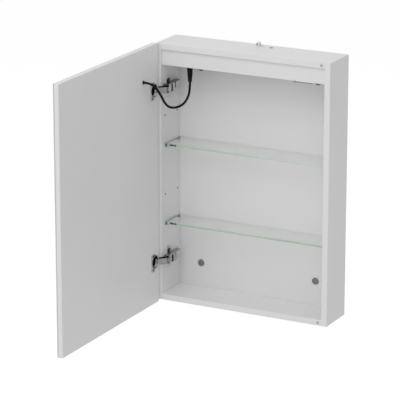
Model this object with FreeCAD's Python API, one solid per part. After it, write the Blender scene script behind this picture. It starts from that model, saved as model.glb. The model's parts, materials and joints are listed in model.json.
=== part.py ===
import FreeCAD, Part
import math
import os

# Bathroom mirror cabinet for a wall, with one mirror door on the left, shown open at a right angle.
# Millimetres. +Z is up, -Y is the front, and the wall is the plane Y = 0.
# The origin is the middle of the four wall fixing holes, on the wall plane.

# Driving dimensions of the carcass
CARCASS_WIDTH = 500.0
CARCASS_HEIGHT = 700.0
CARCASS_DEPTH = 112.0
PANEL = 16.0
BACK_PANEL = 9.0
EDGE_EASE = 0.7

# Wall fixings
FIXING_SPAN_X = 338.0
FIXING_SPAN_Z = 538.0
FIXING_ABOVE_BOTTOM = 83.0
FIXING_HOLE_RADIUS = 2.75

# Electrics tray under the top panel
FASCIA_SETBACK = 6.0
FASCIA_THICKNESS = 12.0
FASCIA_BELOW_TOP = 58.0
TRAY_FLOOR = 10.0
TRAY_DEPTH = 56.0
INLET_WIDTH = 58.0
INLET_HEIGHT = 56.0
INLET_LEFT = 98.0
INLET_ABOVE_BOTTOM = 613.0

# Shelves and their pins
SHELF_GLASS = 5.0
SHELF_SETBACK = 18.0
SHELF_END_GAP = 2.0
SHELF_BACK_GAP = 0.5
PIN_RADIUS = 2.5
PIN_FLAT = 1.9
PIN_HOLE_DEPTH = 10.0
PIN_ROWS = (22.5, 90.0)
PIN_STEP = 82.5
SHELF_PIN_LEVELS = (205.0, 420.0)

# Door
DOOR_GAP = 2.0
DOOR_OVERHANG = 2.5
DOOR_BOARD = 12.0
MIRROR = 4.0
AXIS_IN_FROM_SIDE = 1.5
AXIS_AHEAD_OF_FRONT = 13.0
OPEN_ANGLE = 90.0
LIGHT_FROM_EDGE = 57.5
LIGHT_WIDTH = 20.0
LIGHT_END_GAP = 52.5

# Concealed hinges
HINGE_LEVELS = (112.0, 579.0)
CUP_EDGE_GAP = 4.0
CUP_RADIUS = 17.5
CUP_DEPTH = 11.0
CUP_WALL = 0.9
PLATE_SCREW_LINE = 37.0
ARM_HEIGHT = 19.4
ARM_HALF_WIDTH = 11.4
SHEET = 1.4
PIVOT = (34.0, 15.8)
LINK_END = (6.0, 10.9)
PIVOT_PIN_RADIUS = 1.25
RUNNING_GAP = 0.05

# Cable from the tray to the door, in the open pose: X, Y and height above the carcass's bottom
CABLE_RADIUS = 3.1
RELIEF_X = -167.0
RELIEF_Y = -77.0
RELIEF_BELOW_TOP = 102.0
CABLE_POINTS = [
    (-167.0, -77.0, 598.0),
    (-167.0, -77.0, 577.0),
    (-170.0, -84.0, 552.5),
    (-177.0, -99.0, 536.5),
    (-187.0, -119.0, 532.0),
    (-196.0, -139.0, 537.0),
    (-201.0, -153.0, 553.0),
    (-205.0, -165.0, 576.0),
    (-210.0, -179.0, 596.0),
    (-217.0, -190.5, 608.5),
    (-226.0, -197.5, 613.5),
    (-236.0, -200.5, 614.5),
]

# Planes worked out from the driving dimensions
HALF = CARCASS_WIDTH / 2
INNER = HALF - PANEL
FRONT = -CARCASS_DEPTH
BOTTOM = -FIXING_ABOVE_BOTTOM - FIXING_SPAN_Z / 2
TOP = BOTTOM + CARCASS_HEIGHT
FLOOR = BOTTOM + PANEL
CEILING = TOP - PANEL
BACK_FACE = -BACK_PANEL
FASCIA_FRONT = FRONT + FASCIA_SETBACK
FASCIA_BACK = FASCIA_FRONT + FASCIA_THICKNESS
TRAY_UNDER = TOP - FASCIA_BELOW_TOP
TRAY_TOP = TRAY_UNDER + TRAY_FLOOR
DOOR_HALF = HALF + DOOR_OVERHANG
DOOR_INNER = FRONT - DOOR_GAP
DOOR_BACKING = DOOR_INNER - DOOR_BOARD
DOOR_OUTER = DOOR_BACKING - MIRROR
DOOR_LOW = BOTTOM - DOOR_OVERHANG
DOOR_HIGH = TOP + DOOR_OVERHANG
AXIS_X = -HALF + AXIS_IN_FROM_SIDE
AXIS_Y = FRONT - AXIS_AHEAD_OF_FRONT
CUP_X = -DOOR_HALF + CUP_EDGE_GAP + CUP_RADIUS
PLATE_Y = FRONT + PLATE_SCREW_LINE
ARM_FACE = -INNER + ARM_HEIGHT
CABLE_ROUTE = [(x, y, BOTTOM + height) for x, y, height in CABLE_POINTS]

UP = FreeCAD.Vector(0, 0, 1)
DOWN = FreeCAD.Vector(0, 0, -1)
RIGHT = FreeCAD.Vector(1, 0, 0)
LEFT = FreeCAD.Vector(-1, 0, 0)
INTO_WALL = FreeCAD.Vector(0, 1, 0)
OUT_OF_WALL = FreeCAD.Vector(0, -1, 0)


# Small building blocks

def vec(x, y, z):
    return FreeCAD.Vector(x, y, z)


def box(x, y, z):
    """A block from three (low, high) pairs."""
    return Part.makeBox(x[1] - x[0], y[1] - y[0], z[1] - z[0], vec(x[0], y[0], z[0]))


def board(x, y, z, ease=EDGE_EASE):
    """A block with all its edges eased by a narrow flat."""
    solid = box(x, y, z)
    return solid.makeChamfer(ease, solid.Edges)


def slab(x, y, z, corner, along):
    """A block whose four edges along one axis are rounded."""
    solid = box(x, y, z)
    edges = [e for e in solid.Edges if abs(e.tangentAt(e.FirstParameter).dot(along)) > 0.99]
    return solid.makeFillet(corner, edges)


def rod(radius, start, direction, length):
    return Part.makeCylinder(radius, length, start, direction)


def turned(profile, base, direction):
    """A solid of revolution: (radius, height) corners, height measured along direction from base."""
    corners = [vec(r, 0, h) for r, h in profile]
    face = Part.Face(Part.makePolygon(corners + corners[:1]))
    solid = face.revolve(vec(0, 0, 0), UP, 360)
    solid.Placement = FreeCAD.Placement(base, FreeCAD.Rotation(UP, direction))
    return solid


def prism(outline, low, high):
    """An XY outline raised from one level to another."""
    corners = [vec(x, y, low) for x, y in outline]
    face = Part.Face(Part.makePolygon(corners + corners[:1]))
    return face.extrude(vec(0, 0, high - low))


def both_sides(make, level, inner, outer):
    """Two mirrored plates about a level, each from inner to outer half width."""
    return [make(level + inner, level + outer), make(level - outer, level - inner)]


def join(solids):
    return solids[0].fuse(solids[1:]).removeSplitter()


def opened(shape):
    """Turn a door piece, built shut, to the open rest pose."""
    turned_shape = shape.copy()
    turned_shape.rotate(vec(AXIS_X, AXIS_Y, 0), UP, -OPEN_ANGLE)
    return turned_shape


def about_axis(point):
    """A point given from the swing axis with the door shut, as real X and Y."""
    return AXIS_X + point[0], AXIS_Y + point[1]


# Shared places

def dowel_places():
    """Start on the side panel's inner face, direction into the side panel."""
    for z in (BOTTOM + PANEL / 2, TOP - PANEL / 2):
        for y in (FRONT * 0.25, FRONT * 0.75):
            yield vec(-INNER, y, z), LEFT
            yield vec(INNER, y, z), RIGHT


def pin_places(levels):
    for level in levels:
        for row in PIN_ROWS:
            yield vec(-INNER, FRONT + row, BOTTOM + level), LEFT
            yield vec(INNER, FRONT + row, BOTTOM + level), RIGHT


def hinge_levels():
    return [BOTTOM + level for level in HINGE_LEVELS]


def fixing_places():
    for x in (-FIXING_SPAN_X / 2, FIXING_SPAN_X / 2):
        for z in (-FIXING_SPAN_Z / 2, FIXING_SPAN_Z / 2):
            yield x, z


# Carcass panels

DOWEL_RADIUS = 4.0
DOWEL_IN_SIDE = 10.0
DOWEL_IN_END = 20.0
PLATE_SCREW_SPREAD = 16.0
PLATE_SCREW_RADIUS = 2.0
PLATE_SCREW_LENGTH = 11.0


def side_panel(sign):
    x = sorted((sign * INNER, sign * HALF))
    solid = board(x, (FRONT, 0), (BOTTOM, TOP))
    holes = []
    every_level = [level + step for level in SHELF_PIN_LEVELS for step in (0, PIN_STEP)]
    for start, direction in pin_places(every_level):
        if direction.x == sign:
            holes.append(rod(PIN_RADIUS + RUNNING_GAP, start, direction, PIN_HOLE_DEPTH))
    for start, direction in dowel_places():
        if direction.x == sign:
            holes.append(rod(DOWEL_RADIUS, start, direction, DOWEL_IN_SIDE + 1))
    if sign < 0:
        for level in hinge_levels():
            for spread in (-PLATE_SCREW_SPREAD, PLATE_SCREW_SPREAD):
                start = vec(-INNER, PLATE_Y, level + spread)
                holes.append(rod(PLATE_SCREW_RADIUS, start, LEFT, PLATE_SCREW_LENGTH))
    return solid.cut(holes)


def cross_panel(low):
    """Top or bottom panel, between the sides."""
    solid = board((-INNER, INNER), (FRONT, 0), (low, low + PANEL))
    holes = []
    for start, direction in dowel_places():
        if low < start.z < low + PANEL:
            holes.append(rod(DOWEL_RADIUS, start, direction * -1, DOWEL_IN_END + 1))
    return solid.cut(holes)


BUSH_X = 43.0
BUSH_Y = -26.0
BUSH_HOLE = 4.4
CLIP_X = 4.0
CLIP_Y = -22.0
CLIP_FOOT = 13.0
CLIP_SCREW_OFFSET = 9.0
CLIP_SCREW_RADIUS = 1.5
CLIP_SCREW_LENGTH = 11.0


def top_panel():
    solid = cross_panel(CEILING)
    cable_hole = rod(BUSH_HOLE, vec(BUSH_X, BUSH_Y, CEILING), UP, PANEL)
    screw_start = vec(CLIP_X + CLIP_SCREW_OFFSET, CLIP_Y, TOP)
    screw_hole = rod(CLIP_SCREW_RADIUS, screw_start, DOWN, CLIP_SCREW_LENGTH)
    return solid.cut([cable_hole, screw_hole])


def back_panel():
    solid = board((-INNER, INNER), (BACK_FACE, 0), (FLOOR, CEILING))
    inlet_low = BOTTOM + INLET_ABOVE_BOTTOM
    inlet_x = (INLET_LEFT, INLET_LEFT + INLET_WIDTH)
    inlet_z = (inlet_low, inlet_low + INLET_HEIGHT)
    cuts = [slab(inlet_x, (BACK_FACE - 1, 1), inlet_z, 4.0, INTO_WALL)]
    for x, z in fixing_places():
        cuts.append(rod(FIXING_HOLE_RADIUS, vec(x, BACK_FACE - 1, z), INTO_WALL, BACK_PANEL + 2))
    return solid.cut(cuts)


def panel_dowels():
    solids = []
    for start, direction in dowel_places():
        first = start - direction * DOWEL_IN_END
        solids.append(rod(DOWEL_RADIUS, first, direction, DOWEL_IN_END + DOWEL_IN_SIDE))
    return Part.makeCompound(solids)


# Electrics tray

RELIEF_HOLE = 7.5
DRIVER_X = (-105.0, 45.0)
DRIVER_Y = (-88.0, -52.0)
DRIVER_HEIGHT = 24.0
DRIVER_EAR = 12.0
DRIVER_EAR_THICKNESS = 3.0
DRIVER_SCREW_RADIUS = 1.6
DRIVER_SCREW_LENGTH = 8.0
DRIVER_LEAD_DROP = 15.0


def electrics_fascia():
    return board((-INNER, INNER), (FASCIA_FRONT, FASCIA_BACK), (TRAY_UNDER, CEILING))


def driver_screw_places():
    middle = sum(DRIVER_Y) / 2
    for x in (DRIVER_X[0] - DRIVER_EAR / 2, DRIVER_X[1] + DRIVER_EAR / 2):
        yield vec(x, middle, TRAY_TOP + DRIVER_EAR_THICKNESS)


def electrics_floor():
    solid = board((-INNER, INNER), (FASCIA_BACK, FASCIA_BACK + TRAY_DEPTH), (TRAY_UNDER, TRAY_TOP))
    holes = [rod(RELIEF_HOLE, vec(RELIEF_X, RELIEF_Y, TRAY_UNDER), UP, TRAY_FLOOR)]
    for place in driver_screw_places():
        holes.append(rod(DRIVER_SCREW_RADIUS, place, DOWN, DRIVER_EAR_THICKNESS + DRIVER_SCREW_LENGTH))
    return solid.cut(holes)


def led_driver():
    body = board(DRIVER_X, DRIVER_Y, (TRAY_TOP, TRAY_TOP + DRIVER_HEIGHT), 2.0)
    middle = sum(DRIVER_Y) / 2
    ear_y = (middle - 7, middle + 7)
    ear_z = (TRAY_TOP, TRAY_TOP + DRIVER_EAR_THICKNESS)
    ear_x = (DRIVER_X[0] - DRIVER_EAR, DRIVER_X[1] + DRIVER_EAR)
    ears = slab(ear_x, ear_y, ear_z, 5.0, UP)
    holes = [rod(DRIVER_SCREW_RADIUS + 0.2, p, DOWN, DRIVER_EAR_THICKNESS) for p in driver_screw_places()]
    return join([body, ears]).cut(holes)


def driver_screws():
    profile = [
        (0, -DRIVER_EAR_THICKNESS - DRIVER_SCREW_LENGTH + 0.5),
        (DRIVER_SCREW_RADIUS, -DRIVER_EAR_THICKNESS - DRIVER_SCREW_LENGTH + 2),
        (DRIVER_SCREW_RADIUS, 0),
        (3.2, 0),
        (2.6, 1.6),
        (0, 2.0),
    ]
    return Part.makeCompound([turned(profile, p, UP) for p in driver_screw_places()])


def terminal_block():
    """Three pole terminal block with a wire port and a screw well for each pole."""
    x = (70.0, 106.0)
    y = (-82.0, -60.0)
    height = 18.0
    body = board(x, y, (TRAY_TOP, TRAY_TOP + height), 1.0)
    cuts = []
    for pole in range(3):
        pole_x = x[0] + 6.0 + 12.0 * pole
        middle = sum(y) / 2
        cuts.append(rod(2.4, vec(pole_x, y[1], TRAY_TOP + 8), OUT_OF_WALL, 8.0))
        cuts.append(rod(2.8, vec(pole_x, middle, TRAY_TOP + height), DOWN, 5.0))
    return body.cut(cuts)


def strain_relief():
    """Bush through the tray floor, with a ribbed taper below it."""
    length = RELIEF_BELOW_TOP - FASCIA_BELOW_TOP
    ribs = 5
    first, last = 8.0, length - 8.0
    wide, narrow = 8.3, 5.3
    pitch = (last - first) / ribs
    profile = [
        (0, -TRAY_FLOOR),
        (RELIEF_HOLE, -TRAY_FLOOR),
        (RELIEF_HOLE, 0),
        (wide + 0.9, 0),
        (wide + 0.9, 1.6),
        (wide, 2.2),
    ]
    for rib in range(ribs):
        at = first + pitch * rib
        radius = wide + (narrow - wide) * at / length
        profile += [(radius, at), (radius - 1.0, at + 0.4), (radius - 1.0, at + pitch * 0.3)]
        profile.append((radius - 0.1, at + pitch * 0.3 + 0.4))
    profile += [(narrow, last), (narrow, length - 0.8), (narrow - 0.8, length), (0, length)]
    return turned(profile, vec(RELIEF_X, RELIEF_Y, TRAY_UNDER), DOWN)


def cord_tube(route, radius, label):
    """A round cord along straight runs joined by tangent arcs as large as the runs allow."""
    points = [vec(*p) for p in route]
    edges = []
    start = points[0]
    radii = []
    for before, corner, after in zip(points, points[1:], points[2:]):
        first = corner - before
        second = after - corner
        turn = first.getAngle(second)
        reach = 0.45 * min(first.Length, second.Length)
        radii.append(reach / math.tan(turn / 2))
        first.normalize()
        second.normalize()
        arc_start = corner - first * reach
        arc_end = corner + second * reach
        bisector = second - first
        bisector.normalize()
        middle = corner + bisector * (radii[-1] * (1 / math.cos(turn / 2) - 1))
        edges.append(Part.LineSegment(start, arc_start).toShape())
        edges.append(Part.Arc(arc_start, middle, arc_end).toShape())
        start = arc_end
    edges.append(Part.LineSegment(start, points[-1]).toShape())
    path = Part.Wire(edges)
    along = points[1] - points[0]
    circle = Part.Wire(Part.makeCircle(radius, points[0], along))
    solid = path.makePipeShell([circle], True, False)
    ideal = math.pi * radius ** 2 * path.Length
    print(label, "length", round(path.Length, 1), "radii", [round(r, 1) for r in radii])
    print(label, "volume over section times length", round(solid.Volume / ideal, 4))
    return solid


def driver_lead():
    """Lead from the driver's end along the tray and down into the strain relief."""
    level = TRAY_TOP + DRIVER_LEAD_DROP + 1
    start = vec(DRIVER_X[0], RELIEF_Y, level)
    corner = vec(RELIEF_X + DRIVER_LEAD_DROP, RELIEF_Y, level)
    low = vec(RELIEF_X, RELIEF_Y, level - DRIVER_LEAD_DROP)
    diagonal = DRIVER_LEAD_DROP * (1 - math.sqrt(0.5))
    middle = vec(RELIEF_X + diagonal, RELIEF_Y, level - diagonal)
    edges = [
        Part.LineSegment(start, corner).toShape(),
        Part.Arc(corner, middle, low).toShape(),
        Part.LineSegment(low, vec(RELIEF_X, RELIEF_Y, TRAY_TOP)).toShape(),
    ]
    circle = Part.Wire(Part.makeCircle(CABLE_RADIUS, start, LEFT))
    return Part.Wire(edges).makePipeShell([circle], True, False)


# Fittings on the carcass

def shelf(level):
    z = BOTTOM + level + PIN_FLAT
    x = (-INNER + SHELF_END_GAP, INNER - SHELF_END_GAP)
    y = (FRONT + SHELF_SETBACK, BACK_FACE - SHELF_BACK_GAP)
    glass = slab(x, y, (z, z + SHELF_GLASS), 4.0, UP)
    rims = [e for e in glass.Edges if abs(e.tangentAt(e.FirstParameter).z) < 0.5]
    return glass.makeChamfer(0.6, rims)


def shelf_pins():
    """Pegs with a collar against the panel and a flat for the glass."""
    profile = [
        (0, 1 - PIN_HOLE_DEPTH),
        (PIN_RADIUS - 0.5, 1 - PIN_HOLE_DEPTH),
        (PIN_RADIUS, 2 - PIN_HOLE_DEPTH),
        (PIN_RADIUS, 0),
        (3.8, 0),
        (3.8, 1.2),
        (PIN_RADIUS, 1.2),
        (PIN_RADIUS, 8.5),
        (PIN_RADIUS - 0.6, 9.0),
        (0, 9.0),
    ]
    solids = []
    for start, direction in pin_places(SHELF_PIN_LEVELS):
        inward = direction * -1
        peg = turned(profile, start, inward)
        far = start + inward * 10
        near = start + inward * 1.2
        flat_x = sorted((near.x, far.x))
        flat = box(flat_x, (start.y - 4, start.y + 4), (start.z + PIN_FLAT, start.z + 4))
        solids.append(peg.cut(flat))
    return Part.makeCompound(solids)


def wall_screw_caps():
    """Hollow snap caps that stand on the back panel round each fixing hole."""
    outside = [(7.4, 0), (9, 0), (9, 2.0), (8.3, 3.2), (6.3, 3.9), (0, 4.2)]
    inside = [(0, 2.8), (6.6, 2.4), (7.4, 1.8)]
    profile = outside + inside
    caps = [turned(profile, vec(x, BACK_FACE, z), OUT_OF_WALL) for x, z in fixing_places()]
    return Part.makeCompound(caps)


BUMPER_FROM_SIDE = 25.0


def door_bumpers():
    profile = [(0, 0), (4.0, 0), (4.0, 0.5), (3.2, 1.2), (1.6, 1.5), (0, 1.6)]
    x = HALF - BUMPER_FROM_SIDE
    levels = (BOTTOM + PANEL / 2, TOP - PANEL / 2)
    return Part.makeCompound([turned(profile, vec(x, FRONT, z), OUT_OF_WALL) for z in levels])


CLIP_WIDTH = 10.0
CLIP_OUTER = 5.4
CLIP_INNER = 3.8
CLIP_STRAP = 1.6


def cable_clip():
    """P clip: a loop for the supply cable with one screwed foot."""
    start = vec(CLIP_X, CLIP_Y - CLIP_WIDTH / 2, TOP + CLIP_OUTER)
    loop = rod(CLIP_OUTER, start, INTO_WALL, CLIP_WIDTH)
    foot_y = (CLIP_Y - CLIP_WIDTH / 2, CLIP_Y + CLIP_WIDTH / 2)
    foot = box((CLIP_X, CLIP_X + CLIP_FOOT), foot_y, (TOP, TOP + CLIP_STRAP))
    upright = [e for e in foot.Edges if abs(e.tangentAt(e.FirstParameter).z) > 0.9]
    corners = [e for e in upright if e.Vertexes[0].X > CLIP_X]
    foot = foot.makeFillet(3.0, corners)
    bore = rod(CLIP_INNER, start, INTO_WALL, CLIP_WIDTH)
    screw = rod(CLIP_SCREW_RADIUS + 0.2, vec(CLIP_X + CLIP_SCREW_OFFSET, CLIP_Y, TOP), UP, CLIP_STRAP)
    return join([loop, foot]).cut([bore, screw])


def cable_clip_screw():
    profile = [
        (0, 0.5 - CLIP_SCREW_LENGTH),
        (CLIP_SCREW_RADIUS, 2 - CLIP_SCREW_LENGTH),
        (CLIP_SCREW_RADIUS, CLIP_STRAP),
        (3.0, CLIP_STRAP),
        (2.5, CLIP_STRAP + 1.5),
        (0, CLIP_STRAP + 1.9),
    ]
    return turned(profile, vec(CLIP_X + CLIP_SCREW_OFFSET, CLIP_Y, TOP), UP)


def top_cable_bush():
    bore = 3.1
    profile = [
        (bore, -PANEL),
        (BUSH_HOLE, -PANEL),
        (BUSH_HOLE, 0),
        (5.4, 0),
        (5.1, 0.9),
        (bore + 0.5, 1.1),
        (bore, 0.6),
    ]
    return turned(profile, vec(BUSH_X, BUSH_Y, TOP), UP)


# Door, built shut

CUP_SCREW_FROM_CENTRE = 10.5
CUP_SCREW_SPREAD = 19.0
CUP_SCREW_RADIUS = 1.7
CUP_SCREW_LENGTH = 9.0
CUP_FLANGE = 1.0
CABLE_HOLE_RADIUS = 4.0
CHANNEL_HEIGHT = 8.0
CHANNEL_DEPTH = 4.0
GROOVE_DEPTH = 8.0
DIFFUSER = 2.8
LED_STRIP = 1.6
LED_CHIPS = 12


def cable_entry():
    """Where the cable enters the inner face, from its place in the open pose."""
    end = CABLE_ROUTE[-1]
    return vec(AXIS_X - (end[1] - AXIS_Y), DOOR_INNER, end[2])


def light_bands():
    """X range of the two light windows, and their common Z range."""
    z = (DOOR_LOW + LIGHT_END_GAP, DOOR_HIGH - LIGHT_END_GAP)
    for sign in (-1, 1):
        middle = sign * (DOOR_HALF - LIGHT_FROM_EDGE)
        yield (middle - LIGHT_WIDTH / 2, middle + LIGHT_WIDTH / 2), z


def cup_screw_places():
    for level in hinge_levels():
        for spread in (-CUP_SCREW_SPREAD, CUP_SCREW_SPREAD):
            yield vec(CUP_X + CUP_SCREW_FROM_CENTRE, DOOR_INNER, level + spread)


def door_board():
    solid = board((-DOOR_HALF, DOOR_HALF), (DOOR_BACKING, DOOR_INNER), (DOOR_LOW, DOOR_HIGH))
    cuts = []
    for x, z in light_bands():
        cuts.append(box(x, (DOOR_BACKING, DOOR_BACKING + GROOVE_DEPTH), z))
    entry = cable_entry()
    channel_reach = DOOR_HALF - LIGHT_FROM_EDGE
    channel_z = (entry.z - CHANNEL_HEIGHT / 2, entry.z + CHANNEL_HEIGHT / 2)
    channel_y = (DOOR_BACKING, DOOR_BACKING + CHANNEL_DEPTH)
    cuts.append(box((-channel_reach, channel_reach), channel_y, channel_z))
    cuts.append(rod(CABLE_HOLE_RADIUS, entry, OUT_OF_WALL, DOOR_BOARD))
    for level in hinge_levels():
        cuts.append(rod(CUP_RADIUS, vec(CUP_X, DOOR_INNER, level), OUT_OF_WALL, CUP_DEPTH))
    for place in cup_screw_places():
        cuts.append(rod(CUP_SCREW_RADIUS, place, OUT_OF_WALL, CUP_SCREW_LENGTH))
    return solid.cut(cuts)


def mirror_glass():
    return board((-DOOR_HALF, DOOR_HALF), (DOOR_OUTER, DOOR_BACKING), (DOOR_LOW, DOOR_HIGH), 0.6)


def light_diffusers():
    bars = []
    for x, z in light_bands():
        bars.append(box(x, (DOOR_BACKING, DOOR_BACKING + DIFFUSER), z))
    return Part.makeCompound(bars)


def led_strips():
    """Circuit strip at the bottom of each groove, with its light chips."""
    strips = []
    for x, z in light_bands():
        middle = sum(x) / 2
        back = DOOR_BACKING + GROOVE_DEPTH
        strip = box((middle - 5, middle + 5), (back - LED_STRIP, back), (z[0] + 4, z[1] - 4))
        pitch = (z[1] - z[0]) / LED_CHIPS
        chips = []
        for chip in range(LED_CHIPS):
            at = z[0] + pitch * (chip + 0.5)
            chip_y = (back - LED_STRIP - 1, back - LED_STRIP)
            chips.append(box((middle - 2, middle + 2), chip_y, (at - 2, at + 2)))
        strips.append(join([strip] + chips))
    return Part.makeCompound(strips)


def door_wiring():
    """Flat pair of wires across the door, between the two strips."""
    entry = cable_entry()
    reach = DOOR_HALF - LIGHT_FROM_EDGE - LIGHT_WIDTH / 2
    y = (DOOR_BACKING + CHANNEL_DEPTH - 1.8, DOOR_BACKING + CHANNEL_DEPTH - 0.2)
    return box((-reach, reach), y, (entry.z - 2.4, entry.z + 2.4))


def door_cable_bush():
    depth = DOOR_BOARD - CHANNEL_DEPTH
    shank = [(0, -depth), (CABLE_HOLE_RADIUS, -depth), (CABLE_HOLE_RADIUS, 0)]
    profile = shank + [(5.2, 0), (4.9, 1.1), (4.2, 2.0), (0, 2.0)]
    return turned(profile, cable_entry(), INTO_WALL)


# Concealed hinges

LINK_PLATE = (8.2, 9.6)
LINK_END_PLATE = (4.4, 5.8)
LINK_HALF_HEIGHT = 1.4
LINK_SHOULDER = 26.4
NOSE_CHEEK = (6.3, 7.8)
NOSE_EYE = 2.8
PLATE_BASE = 2.0
PLATE_LOBE = 13.0
ARM_SCREW_RADIUS = 2.0
ARM_SCREW_HEAD = 3.6
ARM_SLOT = (-90.5, -81.5)
ARM_NOTCH = (-70.5, -66.5)
ARM_REAR = -36.0


def hinge_cup(level):
    """Cup for the bore in the door, with its screwed flange, open on the hinge side for the link."""
    inside = CUP_RADIUS - CUP_WALL
    centre = vec(CUP_X, DOOR_INNER, level)
    shell = rod(CUP_RADIUS, centre, OUT_OF_WALL, CUP_DEPTH)
    rim = rod(CUP_RADIUS + 2, centre, INTO_WALL, CUP_FLANGE)
    wing_x = (CUP_X + 0.5, CUP_X + 21.0)
    wing = slab(wing_x, (DOOR_INNER, DOOR_INNER + CUP_FLANGE), (level - 24.5, level + 24.5), 6.0, INTO_WALL)
    body = join([shell, rim, wing])
    hollow = rod(inside, centre + INTO_WALL * CUP_FLANGE, OUT_OF_WALL, CUP_FLANGE + CUP_DEPTH - CUP_WALL)
    gap_x = (CUP_X - CUP_RADIUS - 3, CUP_X - 11.5)
    link_gap = box(gap_x, (DOOR_INNER, DOOR_INNER + CUP_FLANGE), (level - 20, level + 20))
    holes = [hollow, link_gap]
    for place in cup_screw_places():
        if abs(place.z - level) < 2 * CUP_SCREW_SPREAD:
            holes.append(rod(CUP_SCREW_RADIUS, place, INTO_WALL, CUP_FLANGE))
    return body.cut(holes)


def hinge_cup_screws():
    profile = [
        (0, 0.5 - CUP_SCREW_LENGTH),
        (CUP_SCREW_RADIUS, 2.5 - CUP_SCREW_LENGTH),
        (CUP_SCREW_RADIUS, CUP_FLANGE),
        (3.3, CUP_FLANGE),
        (2.8, CUP_FLANGE + 0.7),
        (0.9, CUP_FLANGE + 0.9),
        (0, CUP_FLANGE + 0.4),
    ]
    return Part.makeCompound([turned(profile, p, INTO_WALL) for p in cup_screw_places()])


def hinge_plate(level):
    """Winged mounting plate on the side panel, with the rail that the arm slides on."""
    base_x = (-INNER, -INNER + PLATE_BASE)
    bar = slab(base_x, (PLATE_Y - 30, PLATE_Y + 36), (level - 11, level + 11), 6.0, RIGHT)
    wings = slab(base_x, (PLATE_Y - 10, PLATE_Y + 10), (level - 30, level + 30), 7.0, RIGHT)
    pads = []
    for spread in (-PLATE_SCREW_SPREAD, PLATE_SCREW_SPREAD):
        pads.append(rod(4.4, vec(-INNER, PLATE_Y, level + spread), RIGHT, PLATE_BASE + 1.0))
    rail = board((-INNER, -INNER + 12), (PLATE_Y - 19, PLATE_Y + 32), (level - 7, level + 7), 1.5)
    lobe = rod(PLATE_LOBE, vec(-INNER, ARM_REAR + 8, level), RIGHT, PLATE_BASE)
    holes = []
    for spread in (-PLATE_SCREW_SPREAD, PLATE_SCREW_SPREAD):
        holes.append(rod(PLATE_SCREW_RADIUS, vec(-INNER, PLATE_Y, level + spread), RIGHT, PLATE_BASE + 2))
    holes.append(rod(ARM_SCREW_RADIUS, vec(-INNER + 4, sum(ARM_SLOT) / 2, level), RIGHT, 10))
    return join([bar, wings, rail, lobe] + pads).cut(holes)


def hinge_plate_screws():
    profile = [
        (0, 0.5 - PLATE_SCREW_LENGTH),
        (PLATE_SCREW_RADIUS, 3 - PLATE_SCREW_LENGTH),
        (PLATE_SCREW_RADIUS, PLATE_BASE + 1.0),
        (3.8, PLATE_BASE + 1.0),
        (3.2, PLATE_BASE + 2.4),
        (1.0, PLATE_BASE + 2.8),
        (0, PLATE_BASE + 1.9),
    ]
    screws = []
    for level in hinge_levels():
        for spread in (-PLATE_SCREW_SPREAD, PLATE_SCREW_SPREAD):
            screws.append(turned(profile, vec(-INNER, PLATE_Y, level + spread), RIGHT))
    return Part.makeCompound(screws)


def hinge_arm(level):
    """Bent sheet channel over the rail, with a narrower nose that carries the pivot pin."""
    pivot_x, pivot_y = about_axis(PIVOT)
    foot = -INNER + PLATE_BASE
    web_under = ARM_FACE - SHEET
    cheek_front = FRONT + 2
    web_front = pivot_y + 5
    nose_rear = cheek_front + 14
    cheek = [
        (foot, ARM_REAR),
        (ARM_FACE - 6, ARM_REAR),
        (ARM_FACE, ARM_REAR - 6),
        (ARM_FACE, web_front),
        (ARM_FACE - 7, cheek_front),
        (foot, cheek_front + 8),
    ]
    nose = [
        (pivot_x - NOSE_EYE, pivot_y),
        (pivot_x + NOSE_EYE, pivot_y),
        (ARM_FACE, web_front + 3),
        (ARM_FACE, nose_rear),
        (ARM_FACE - 11, nose_rear),
    ]
    wall = (ARM_HALF_WIDTH - SHEET, ARM_HALF_WIDTH)
    pieces = both_sides(lambda low, high: prism(cheek, low, high), level, *wall)
    pieces += both_sides(lambda low, high: prism(nose, low, high), level, *NOSE_CHEEK)
    pieces += both_sides(
        lambda low, high: rod(NOSE_EYE, vec(pivot_x, pivot_y, low), UP, high - low), level, *NOSE_CHEEK
    )
    web_y = (web_front, ARM_REAR - 6)
    pieces.append(box((web_under, ARM_FACE), web_y, (level - ARM_HALF_WIDTH, level + ARM_HALF_WIDTH)))
    slot_half = ARM_HALF_WIDTH - SHEET
    cuts = [box((web_under - 1, ARM_FACE + 1), ARM_SLOT, (level - slot_half, level + slot_half))]
    cuts.append(box((web_under - 1, ARM_FACE + 1), ARM_NOTCH, (level - 4, level + ARM_HALF_WIDTH)))
    pin_start = vec(pivot_x, pivot_y, level - ARM_HALF_WIDTH)
    cuts.append(rod(PIVOT_PIN_RADIUS, pin_start, UP, 2 * ARM_HALF_WIDTH))
    return join(pieces).cut(cuts)


def hinge_arm_screws():
    """Adjusting screws, from the rail up into the slot of each arm."""
    head_low = ARM_HEIGHT - 3.4
    profile = [
        (0, 4.5),
        (ARM_SCREW_RADIUS, 4.5),
        (ARM_SCREW_RADIUS, head_low),
        (ARM_SCREW_HEAD, head_low),
        (ARM_SCREW_HEAD, head_low + 2.2),
        (1.2, head_low + 2.4),
        (0, head_low + 1.2),
    ]
    screws = []
    for level in hinge_levels():
        screws.append(turned(profile, vec(-INNER, sum(ARM_SLOT) / 2, level), RIGHT))
    return Part.makeCompound(screws)


def hinge_pivot_pins():
    pivot_x, pivot_y = about_axis(PIVOT)
    half = LINK_PLATE[1]
    pins = []
    for level in hinge_levels():
        pins.append(rod(PIVOT_PIN_RADIUS, vec(pivot_x, pivot_y, level - half), UP, 2 * half))
    return Part.makeCompound(pins)


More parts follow.
